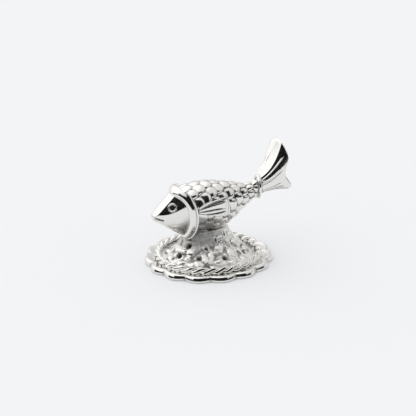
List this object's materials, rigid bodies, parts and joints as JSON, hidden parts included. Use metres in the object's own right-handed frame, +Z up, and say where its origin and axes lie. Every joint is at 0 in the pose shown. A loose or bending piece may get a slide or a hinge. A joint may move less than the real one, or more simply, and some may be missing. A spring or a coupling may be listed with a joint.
{
  "type": "fish idol",
  "caption": "Small polished silver fish figure with raised tail, scaled body, gill collar and fins, standing on a pebbled mound over a scalloped round base with a twisted rope border.",
  "frame": {"origin": "middle of the base plate's underside, on the surface that the idol stands on", "axes": "+Z up, +X towards the tail, so that the head points to -X and the fish's left side faces -Y"},
  "size_m": [0.0331, 0.0279, 0.0248],
  "materials": {
    "polished_silver": "mirror-polished silver",
    "textured_silver": "tumbled cast silver, bright on the high spots",
    "plain_silver": "plain drawn silver, not polished"
  },
  "bodies": {
    "root": {"base_plate": "polished_silver", "rope_ring": "polished_silver", "pebble_mound": "textured_silver", "support_peg": "plain_silver", "fish_body": "textured_silver", "fish_head": "polished_silver", "gill_collar": "polished_silver", "left_pectoral_fin": "polished_silver", "right_pectoral_fin": "polished_silver", "left_eye_ring": "polished_silver", "left_eye_bead": "polished_silver", "right_eye_ring": "polished_silver", "right_eye_bead": "polished_silver", "tail_ring": "polished_silver", "tail_fin": "polished_silver"}
  },
  "joints": []
}
